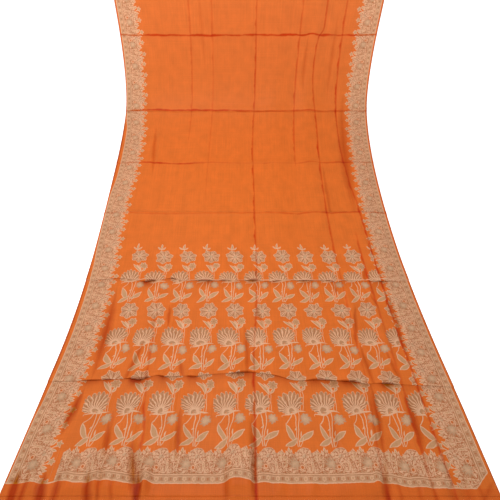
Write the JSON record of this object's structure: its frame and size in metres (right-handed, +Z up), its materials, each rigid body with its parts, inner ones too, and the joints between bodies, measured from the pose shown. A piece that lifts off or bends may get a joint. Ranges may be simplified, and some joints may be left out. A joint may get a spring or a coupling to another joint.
{
  "type": "sari hung over a rail",
  "caption": "Printed silk sari draped over a round rail, its decorated end swept forward and laid out on the floor.",
  "frame": {"origin": "middle of the rail, on its axis, where whatever carries the rail holds it up", "axes": "+X along the rail, across the cloth; -Y towards the decorated end on the floor; +Z up"},
  "size_m": [1.3, 1.6776, 1.7172],
  "materials": {
    "printed_silk": "soft sheen, floral print",
    "field_silk": "soft sheen, printed border",
    "hem_silk": "soft sheen, stitched",
    "rail_wood": "satin"
  },
  "bodies": {
    "root": {"near_hem": "hem_silk", "pallu_near": "printed_silk", "pallu_far": "printed_silk", "field_floor": "field_silk", "field_sweep": "field_silk", "field_front": "field_silk", "field_over_rail": "field_silk", "field_back": "field_silk", "far_hem": "hem_silk", "rail": "rail_wood"}
  },
  "joints": []
}
